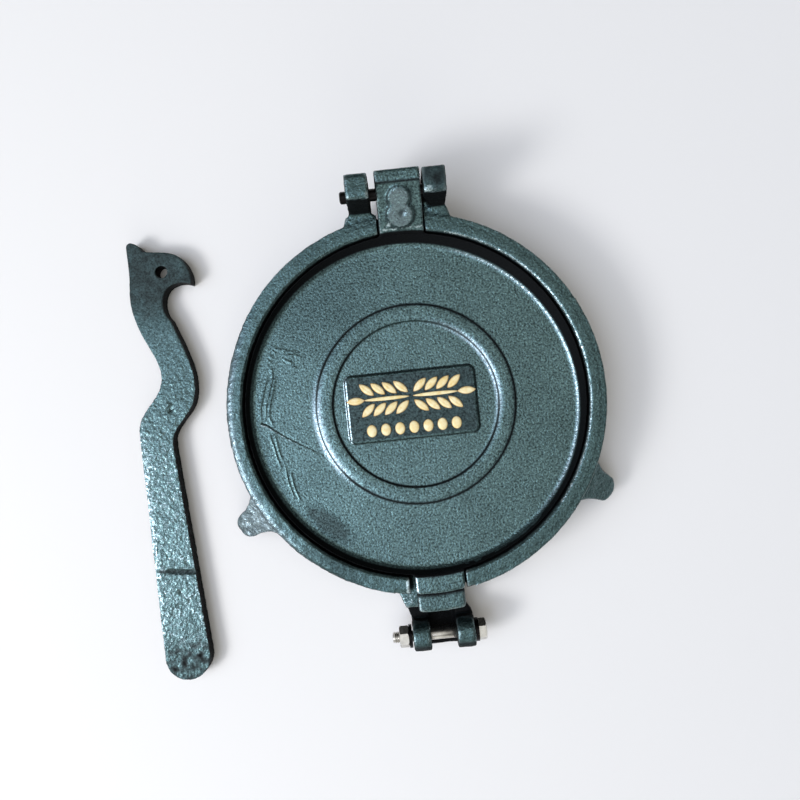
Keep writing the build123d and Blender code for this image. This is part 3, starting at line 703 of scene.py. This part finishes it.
def foot_shift(x, y):
    """How far the foot of the pan's wall lies outside its mean circle, as cast a little off centre and oval,
    and the share of it by which each point moves."""
    radius, bearing = np.hypot(x, y), np.radians(azimuth_of(x, y))
    mean, (cos_1, sin_1), (cos_2, sin_2) = FOOT_OVAL
    shift = mean + cos_1 * np.cos(bearing) + sin_1 * np.sin(bearing)
    shift = (shift + cos_2 * np.cos(2 * bearing) + sin_2 * np.sin(2 * bearing)) * MM
    share = ramp(radius, 62 * MM, PAN_RADIUS - 2 * MM)
    share = share * np.clip((RIM_INNER - radius) / (RIM_INNER - PAN_RADIUS - 0.8 * MM), 0, 1)
    return shift, share


def move_out(points, shift):
    """Moves each point away from the Z axis."""
    scale = 1 + shift / np.maximum(np.hypot(points[:, 0], points[:, 1]), 1 * MM)
    points[:, :2] *= scale[:, None]


def bead_height(radius, slopes):
    """Height of the bead over the pan's floor."""
    fine = np.linspace(slopes[0][0], slopes[-1][0], 700)
    slope = np.interp(fine, *np.array(slopes).T)
    up, down = np.maximum(slope, 0), np.minimum(slope, 0)
    rise = np.cumsum(up / up.sum() - down / down.sum())
    return BEAD_HEIGHT * np.interp(radius / MM, fine, rise, left=0, right=0)


def pan_mesh():
    """The pan's floor, rounded foot and wall as rings of points, closer together where the surface bends."""
    radii = np.concatenate([np.arange(*part) for part in PAN_STEPS]) * MM
    start = (PAN_RADIUS + 0.4 * MM, FLOOR_Z)
    foot = np.array(FOOT_PROFILE) * MM + start
    wall = foot[-1] + np.linspace(0, 1, 10)[1:, None] * (np.array([RIM_INNER, RIM_Z]) - foot[-1])
    below = [(RIM_INNER + 0.25 * MM, RIM_Z - 0.4 * MM), (start[0], FLOOR_Z - 0.5 * MM)]
    profile = np.concatenate([[(r, FLOOR_Z) for r in radii], foot, wall, below])
    around = 480
    points = [(0, 0, FLOOR_Z)]
    points += [(r * cosine, r * sine, z) for r, z in profile for cosine, sine in circle(around)]
    faces = fan_faces(1, around, 0) + ring_faces(len(profile), around, 1)
    faces.append(cap_face(1 + (len(profile) - 1) * around, around))
    return mesh_from("pan_floor", points, faces)


def pan_floor():
    """The pan's floor with its bead, crack and ripples, its rounded foot and its wall."""
    obj = pan_mesh()
    refine(obj, RIPPLES, 1.1 * MM, 1)
    refine(obj, [CRACK], 1.6 * MM, 3)
    points = points_of(obj)
    shift, share = foot_shift(points[:, 0], points[:, 1])
    move_out(points, share * shift)
    x, y, z = points.T
    level = (upness(obj) > 0.9) & (z > FLOOR_Z - 0.1 * MM)
    radius, azimuth = np.hypot(x, y), azimuth_of(x, y)
    across = (azimuth + 180) % 360
    rounder = np.where(radius > 46 * MM, span(azimuth, 110, 180, 212, 262),
                       span(across, 110, 190, 225, 300))
    crisp = bead_height(radius, BEAD_CRISP)
    points[:, 2] += level * (crisp + rounder * (bead_height(radius, BEAD_ROUND) - crisp))
    gap, along = distance_to(CRACK, x, y)
    core = (1 - 0.65 * along) * level * bell(gap, 0.42 * MM)
    points[:, 2] -= 0.7 * MM * core
    for line in RIPPLES:
        gap, along = distance_to(line, x, y)
        ends = np.sin(math.pi * np.clip(along, 0.02, 0.98)) ** 0.5
        points[:, 2] += level * ends * 0.31 * MM * bell(gap, 0.5 * MM)
    set_points(obj, points)
    store(obj, roughcast=np.where(z > FLOOR_Z - 0.1 * MM, 1.0, 0.0))
    give_skin(obj, (9, 0.14), (1.9, 0.07), 8.0, plate_paint)
    paint_pan(obj, core)
    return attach(obj, "top_plate")


def paint_pan(obj, core):
    """Where the pan gets painted shade and painted highlights, and where it is darker in patches. The core is
    how deep the crack is at each point.
    """
    points = points_of(obj)
    x, y = points[:, :2].T
    radius = np.hypot(x, y)
    azimuth = (azimuth_of(x, y) + 90) % 360 - 90
    around = azimuth % 360
    foot = radius - foot_shift(x, y)[0] - PAN_RADIUS
    # Painted shade on the pan's wall, and a painted highlight along the foot at the right
    wall = ramp(foot, 0.1 * MM, 0.9 * MM)
    foot_line = span(azimuth, -55, -30, 60, 80) * bell(foot + 0.25 * MM, 0.45 * MM)
    # Darker in a patch along the wall at the lower left, and in a fainter one at the upper left
    slant = math.radians(-44.5)
    from_x, from_y = x + 50 * MM, y + 56.6 * MM
    patch = ((from_x * math.cos(slant) + from_y * math.sin(slant)) / (15.5 * MM)) ** 2
    patch = patch + ((from_y * math.cos(slant) - from_x * math.sin(slant)) / (5.6 * MM)) ** 2
    patch = 0.48 * (1 - ramp(patch + 0.6 * mottle(points, 3 * MM), 0.2, 1.5))
    dull = 0.26 * bell(x + 45 * MM, 30 * MM) * bell(y - 55 * MM, 22 * MM)
    # Painted shade on the bead's two steps, less where they face the light, and a painted highlight beside
    # them there
    inner_lit = span(azimuth, -42, 22, 30, 86)
    outer_lit = span(around, 150, 186, 208, 231)
    faced = 1 - 0.8 * bell(azimuth - 95, 28)
    bead_line, steps = np.zeros(len(x)), np.zeros(len(x))
    for at, lit, reach, dark, width in ((BEAD_STEPS[0], inner_lit, 0.8 * MM, faced, 0.6 * MM),
                                        (BEAD_STEPS[1], outer_lit, 1.5 * MM, 1, 0.85 * MM)):
        away = radius - at
        bead_line = np.maximum(bead_line, lit * bell(np.maximum(np.abs(away) - 0.8 * MM, 0), reach))
        width = width - (width - 0.45 * MM) * lit
        steps = np.maximum(steps, dark * (0.95 - 0.35 * lit) * np.exp(-(away / width) ** 4))
    # Painted shade along the crack's core and a painted highlight on its lip, and painted shade on the side
    # of each ripple that the light doesn't reach
    gap, along = distance_to([(px - 0.5, py - 0.75) for px, py in CRACK], x, y)
    lip = 0.7 * (1 - along) * bell(gap, 0.3 * MM)
    beside = [[(px + 0.75, py - 0.4) for px, py in line] for line in RIPPLES]
    shades = [0.3 * bell(distance_to(line, x, y)[0], 0.45 * MM) for line in beside]
    store(obj, cavity=0.5, soot=[wall, patch, 0.8 * core, steps, dull] + shades,
          glint=[0.7 * foot_line, 0.3 * bead_line, lip],
          bared=[0.5 * foot_line, 0.5 * bead_line, 0.4 * lip])


def plaque():
    """The plain plaque: a rounded rectangle with rounded edges, as outlines one inside the other."""
    corner = 4.5 * MM
    half_x, half_y = PLAQUE_HALF
    centres = [(side * (half_x - corner), end * (half_y - corner))
               for side, end in ((1, 1), (-1, 1), (-1, -1), (1, -1))]
    edge = []
    for k, (cx, cy) in enumerate(centres):
        for t in np.linspace(0, math.pi / 2, 14):
            edge.append((cx, cy, k * math.pi / 2 + t))
        nx, ny = centres[(k + 1) % 4]
        steps = 60 if k % 2 == 0 else 26
        for t in np.arange(1, steps) / steps:
            edge.append((cx + (nx - cx) * t, cy + (ny - cy) * t, (k + 1) * math.pi / 2))
    around = len(edge)
    rings = [(inset * MM, FLOOR_Z + rise * MM) for inset, rise in PLAQUE_EDGE]
    rings += [(1.95 * MM + 0.35 * MM * i, PLAQUE_TOP) for i in range(1, 8)]
    points = []
    for inset, z in rings:
        reach = corner - inset
        for cx, cy, angle in edge:
            points.append((PLAQUE_X + cx + reach * math.cos(angle), cy + reach * math.sin(angle), z))
    # The level top: the last outline, smaller and smaller
    last, shrink = points[-around:], 26
    for i in range(1, shrink):
        share = 1 - i / shrink
        points += [(PLAQUE_X + (px - PLAQUE_X) * share, py * share, PLAQUE_TOP) for px, py, _ in last]
    count = len(rings) + shrink - 1
    points.append((PLAQUE_X, 0, PLAQUE_TOP))
    faces = ring_faces(count, around) + fan_faces((count - 1) * around, around, len(points) - 1)
    faces.append(cap_face(0, around))
    obj = mesh_from("plaque", points, faces)
    store(obj, roughcast=1.0)
    give_skin(obj, (6, 0.12), (1.9, 0.08), 12.0, plate_paint)
    # Painted shade on the plaque's steep edge and over its top, and a painted highlight on its left edge
    x, y = points_of(obj)[:, :2].T
    from_middle = np.maximum(np.abs(x - PLAQUE_X) - half_x, np.abs(y) - half_y)
    steep = bell(from_middle + 0.8 * MM, 0.25 * MM)
    store(obj, cavity=0.5, soot=[steep, 0.55 * (1 - ramp(from_middle, -2.2 * MM, -1.8 * MM))],
          glint=(1 - steep) * (from_middle > -1.9 * MM) * (x < PLAQUE_X - half_x + 2.5 * MM))
    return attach(obj, "top_plate")


# Painted relief

def grain_mesh(length, width, height, crease, columns=18, rows=10):
    """One plump grain along +X, pointed at both ends, with a crease along it."""
    points, faces = [], []
    arc = (length ** 2 / 4 + width ** 2 / 4) / width
    for i in range(columns + 1):
        x = length * (i / columns - 0.5)
        half = math.sqrt(arc ** 2 - x ** 2) - (arc - width / 2)
        for j in range(rows + 1):
            across = math.cos(math.pi * j / rows)
            dome = math.sqrt(max(0.0, 1 - across ** 2)) * (half / (width / 2)) ** 0.5
            dip = crease * math.exp(-(across * 5) ** 2) * half / (width / 2)
            points.append((x, half * across, max(0.0, height * dome - dip)))
    step = rows + 1
    for i in range(columns):
        for j in range(rows):
            a = i * step + j
            faces.append((a, a + 1, a + step + 1, a + step))
        faces.append((i * step, (i + 1) * step, (i + 1) * step + rows, i * step + rows))
    return points, faces


def copies_in_row(add, given, across, turn):
    """Copies of the given mesh in a straight row along +X, each turned about Z."""
    start = add(VECTOR, {"X": given["Start"], "Y": across})
    step = add(VECTOR, {"X": given["Pitch"]})
    row = add("GeometryNodeMeshLine", {"Count": given["Count"], "Start Location": start, "Offset": step})
    turned = add(VECTOR, {"Z": turn})
    return add("GeometryNodeInstanceOnPoints", {
        "Points": row, "Instance": given["Geometry"], "Rotation": turned})


def wheat_tree():
    """One ear along +X: two rows of grains that lean out from the stalk, and one at its tip."""
    tree, add, given = new_tree("ear_of_wheat", (
        ("Count", GRAINS_IN_ROW), ("Pitch", GRAIN_PITCH), ("Start", 0.0), ("Spread", 0.0), ("Splay", 0.0),
        ("Tip", 0.0)))
    join = add("GeometryNodeJoinGeometry")
    for side in (1.0, -1.0):
        spread = add(MATH, (given["Spread"], side), **PRODUCT)
        splay = add(MATH, (given["Splay"], side), **PRODUCT)
        tree.links.new(copies_in_row(add, given, spread, splay).outputs[0], join.inputs[0])
    tip = add(VECTOR, {"X": given["Tip"]})
    last = add("GeometryNodeTransform", {"Geometry": given["Geometry"], "Translation": tip})
    tree.links.new(last.outputs[0], join.inputs[0])
    end_tree(add, join, given["Material"])
    return tree


def row_tree():
    """A straight row of the given shape along +X."""
    tree, add, given = new_tree("row_of_studs", (
        ("Count", STUD_COUNT), ("Pitch", STUD_PITCH), ("Start", 0.0)))
    end_tree(add, copies_in_row(add, given, 0.0, 0.0), given["Material"])
    return tree


def dome_mesh(half_x, half_y, height, power=2.6, around=32, rings=8):
    """A domed button with an oval foot."""
    points = [(0, 0, height)]
    for i in range(1, rings + 1):
        share = math.sin(math.pi / 2 * i / rings)
        z = height * (1 - share ** power) ** (1 / power)
        points += [(half_x * share * cosine, half_y * share * sine, z) for cosine, sine in circle(around)]
    faces = fan_faces(1, around, 0) + ring_faces(rings, around, 1)
    faces.append(cap_face(1 + (rings - 1) * around, around))
    return points, faces


def place_mesh(obj, matrix):
    """Moves the object's mesh, and leaves the object at the origin."""
    obj.data.transform(matrix)
    obj.data.update()
    return obj


def painted_relief():
    wheat, row = wheat_tree(), row_tree()
    cosine, sine = math.cos(GRAIN_SPLAY), math.sin(GRAIN_SPLAY)
    grain_x = WHEAT_GAP + GRAIN_LENGTH / 2 * cosine + GRAIN_GAP
    grain_y = GRAIN_LENGTH / 2 * sine + STALK_WIDTH / 2 + GRAIN_GAP + GRAIN_WIDTH / 2 * cosine / 3
    stalk = GRAINS_IN_ROW * GRAIN_PITCH
    tip = WHEAT_GAP + stalk + GRAIN_LENGTH / 2 - GRAIN_GAP
    pieces = []
    for name, turn in (("wheat_right", 0.0), ("wheat_left", math.pi)):
        at = Matrix.Translation((PLAQUE_X, WHEAT_Y, PLAQUE_TOP - 0.15 * MM)) @ Matrix.Rotation(turn, 4, "Z")
        ear = mesh_from(name, *grain_mesh(GRAIN_LENGTH, GRAIN_WIDTH, RELIEF_HEIGHT, 0.35 * MM))
        run_tree(ear, wheat, count=GRAINS_IN_ROW, pitch=GRAIN_PITCH, start=grain_x, spread=grain_y,
                 splay=GRAIN_SPLAY, tip=tip, material=gold)
        pieces.append(place_mesh(ear, at))
        stem = mesh_from(name.replace("wheat", "stalk"),
                         *dome_mesh(stalk / 2, STALK_WIDTH / 2, RELIEF_HEIGHT * 0.8, power=4.0, around=48))
        give_material(stem, gold)
        stem.data.shade_smooth()
        pieces.append(place_mesh(stem, at @ Matrix.Translation((WHEAT_GAP + stalk / 2, 0, 0))))
    studs = mesh_from("stud_row", *dome_mesh(STUD_WIDTH / 2, STUD_LENGTH / 2, RELIEF_HEIGHT))
    run_tree(studs, row, count=STUD_COUNT, pitch=STUD_PITCH, start=-STUD_PITCH * (STUD_COUNT - 1) / 2,
             material=gold)
    pieces.append(place_mesh(studs, Matrix.Translation((PLAQUE_X, STUD_Y, PLAQUE_TOP - 0.15 * MM))))
    for piece in pieces:
        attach(piece, "top_plate")


# Lever

def lever_bar():
    obj = remesh(cad_copy("lever", "lever_bar"), LEVER_VOXEL, 8)
    points = points_of(obj)
    x, y, z = points.T
    on_top = z > LEVER_THICKNESS * 0.6
    gap, along = distance_to(LEVER_GROOVE, x, y)
    points[:, 2] -= on_top * 0.8 * MM * bell(gap, 1.1 * MM) * ramp(along, 0.1, 0.3)
    for px, py, depth, size in LEVER_PITS:
        points[:, 2] -= on_top * depth * MM * spot(x, y, (px * MM, py * MM), size * MM)
    set_points(obj, points)
    along = LEVER_EYE[1] - y
    eye = np.hypot(x - LEVER_EYE[0], y - LEVER_EYE[1])
    store(obj, roughcast=(0.15 + 0.85 * ramp(along, 18 * MM, 70 * MM)) * ramp(eye, 3.3 * MM, 6 * MM))
    give_skin(obj, (3.4, 0.3), (1.3, 0.34), 5.0, lever_paint)
    hollowness(obj, 1, 0.10 * MM)
    points = points_of(obj)
    x, y = points[:, :2].T
    along = LEVER_EYE[1] - y
    # Painted shade on the sides and in the groove; darker on the bird's head and in blotches at the end of
    # the grip
    side = 1 - ramp(np.abs(upness(obj)), 0.1, 0.45)
    head = (0.6 + 0.22 * mottle(points, 3.5 * MM)) * (1 - ramp(along, 8 * MM, 44 * MM))
    groove = 0.7 * bell(distance_to(LEVER_GROOVE, x, y)[0], 1.2 * MM)
    end = (0.42 + 0.9 * mottle(points, 3 * MM)) * ramp(along, 188 * MM, 208 * MM)
    store(obj, soot=[side, head, groove, end])
    # Painted highlights on the shaft, more along its left edge
    shaft = ramp(along, 60 * MM, 110 * MM) * (1 - 0.7 * ramp(along, 196 * MM, 214 * MM))
    left_edge = shaft * (1 - ramp(x - (-146.5 * MM + 0.02 * y), 1 * MM, 4 * MM))
    store(obj, glint=0.18 * shaft + 0.25 * left_edge)
    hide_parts("lever")
    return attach(obj, "lever")


# Bolt, nut and washers


def hexagon(name, low, high, chamfer_low, bore):
    """A hexagon head or nut between two places on the X axis. Its corners are turned off at the high end, and
    at the low end where chamfer_low says so. A bore of 0 leaves it solid."""
    around = 96
    flat = HEX_ACROSS / 2 * 0.96
    # From the axis to the hexagon's sides, with flats up and down
    step = math.pi / 3
    from_flat = [2 * math.pi * j / around % step - step / 2 for j in range(around)]
    reach = [HEX_ACROSS / 2 / math.cos(angle) for angle in from_flat]
    turned = [max(0.0, r - flat) * math.tan(HEX_CHAMFER) for r in reach]
    end_radii = [bore + (flat - bore) * share for share in (0.0, 0.5, 1.0)]
    levels = [[(low, r)] * around for r in end_radii]
    levels.append([(low + t * chamfer_low, r) for t, r in zip(turned, reach)])
    levels.append([(high - t, r) for t, r in zip(turned, reach)])
    levels += [[(high, r)] * around for r in reversed(end_radii)]
    if bore:
        levels.append(levels[0])
    points = [(x, r * cosine, r * sine)
              for level in levels for (x, r), (cosine, sine) in zip(level, circle(around))]
    return mesh_from(name, points, ring_faces(len(levels), around))


def bolt_parts():
    head_low, head_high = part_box("pivot_bolt")
    nut_low, nut_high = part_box("pivot_nut")
    axis = Matrix.Translation((0, FORK_Y, FORK_Z))
    head_start = head_low.x + BOLT_LENGTH
    thread_end = head_low.x + THREAD_LENGTH
    tip = head_low.x + 0.6 * MM
    steps = int(THREAD_LENGTH / THREAD_PITCH * 10)
    profile = [(head_low.x, BOLT_RADIUS * 0.78), (tip, BOLT_RADIUS * 0.97)]
    profile += [(tip + (THREAD_LENGTH - 0.6 * MM) * i / steps, BOLT_RADIUS) for i in range(1, steps + 1)]
    profile += [(head_start + 0.5 * MM, BOLT_RADIUS)]
    # The thread is cut into the rod, shallower towards its end
    around = 48
    points = []
    for x, radius in profile:
        cut = radius > BOLT_RADIUS * 0.9 and x < thread_end
        fade = min(1.0, (thread_end - x) / THREAD_PITCH) * cut
        for j, (cosine, sine) in enumerate(circle(around)):
            wave = abs(((x / THREAD_PITCH - j / around) % 1.0) * 2 - 1)
            r = radius - THREAD_DEPTH * wave * fade
            points.append((x, r * cosine, r * sine))
    faces = ring_faces(len(profile), around)
    for first, x in ((0, head_low.x), ((len(profile) - 1) * around, profile[-1][0])):
        points.append((x, 0, 0))
        faces += fan_faces(first, around, len(points) - 1)
    shank = mesh_from("bolt_shank", points, faces)
    head = hexagon("bolt_head", head_start, head_high.x, False, 0.0)
    nut = hexagon("hex_nut", nut_low.x, nut_high.x, True, BOLT_RADIUS - THREAD_DEPTH)
    for piece in (shank, head, nut):
        place_mesh(piece, axis)
        give_material(piece, zinc)
        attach(piece, "pivot_bolt")
    shank.data.shade_smooth()
    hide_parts("pivot_bolt")
    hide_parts("pivot_nut")


base_casting()
top_casting()
pan_floor()
plaque()
painted_relief()
lever_bar()
bolt_parts()
for node in ("hinge_pin", "head_washer", "nut_washer"):
    give_material(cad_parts[node], black_steel)


# Floor, light and camera

def studio():
    corners = [(x, y, -0.1 * MM) for x, y in ((-3, -3), (3, -3), (3, 3), (-3, 3))]
    floor = mesh_from("floor", corners, [(0, 1, 2, 3)])
    # Matt white paper
    paper = bpy.data.materials.new("studio_paper")
    paper.use_nodes = True
    shader = paper.node_tree.nodes["Principled BSDF"]
    shader.inputs["Base Color"].default_value = srgb("#f0eeec")
    shader.inputs["Roughness"].default_value = 0.9
    give_material(floor, paper)
    light_world()

    data = bpy.data.lights.new("key", "AREA")
    data.size = 0.30
    data.energy = 5.5
    lamp = new_object("key", data)
    lamp.location = KEY_PLACE
    lamp.rotation_euler = (-Vector(KEY_PLACE)).to_track_quat("-Z", "Y").to_euler()


def light_world():
    """A soft light overhead and a stronger one at the left, dark between them and the pale horizon."""
    world = bpy.data.worlds.new("studio")
    bpy.context.scene.world = world
    world.use_nodes = True
    world.node_tree.nodes.clear()
    add = partial(add_node, world.node_tree)
    direction = add("ShaderNodeTexCoord").outputs["Generated"]
    height = add("ShaderNodeSeparateXYZ", {"Vector": direction}).outputs["Z"]
    sky = add(RANGE, (height, 0.78, 0.93, 0.05, 1.0), **SMOOTH)
    lobes = []
    for toward, outer, inner, strength in SOFT_LIGHTS:
        ends = (direction, Vector(toward).normalized())
        close = add("ShaderNodeVectorMath", ends, operation="DOT_PRODUCT").outputs["Value"]
        lobes.append(add(RANGE, (close, outer, inner, 0.0, strength), **SMOOTH))
        sky = add(MATH, (sky, lobes[-1]), operation="ADD")
    horizon = add(RANGE, (height, 0.30, 0.16, 0.0, 0.7), **SMOOTH)
    sky = add(MATH, (sky, horizon), operation="ADD")
    tint = add(MIX, {0: lobes[0], 6: srgb("#faf9f3"), 7: srgb("#e4edff")}, **COLOURS)
    # The camera sees an even pale backdrop in place of the lights
    seen = add("ShaderNodeLightPath").outputs["Is Camera Ray"]
    plain = add(MIX, {0: seen, 6: tint.outputs[2], 7: srgb("#f1f1f0")}, **COLOURS)
    level = add(MIX, {0: seen, 2: sky, 3: 1.0})
    background = add("ShaderNodeBackground", {"Color": plain.outputs[2], "Strength": level})
    add("ShaderNodeOutputWorld", {"Surface": background})


def camera():
    data = bpy.data.cameras.new("camera")
    data.sensor_width = 36.0
    data.lens = 33.75
    data.clip_start, data.clip_end = 0.02, 20.0
    obj = new_object("camera", data)
    obj.location = (-7.85 * MM, 2.84 * MM, 409 * MM)
    obj.rotation_euler = (0, 0, math.radians(-6.0))
    bpy.context.scene.camera = obj


studio()
camera()
bpy.context.scene.view_settings.view_transform = "Standard"
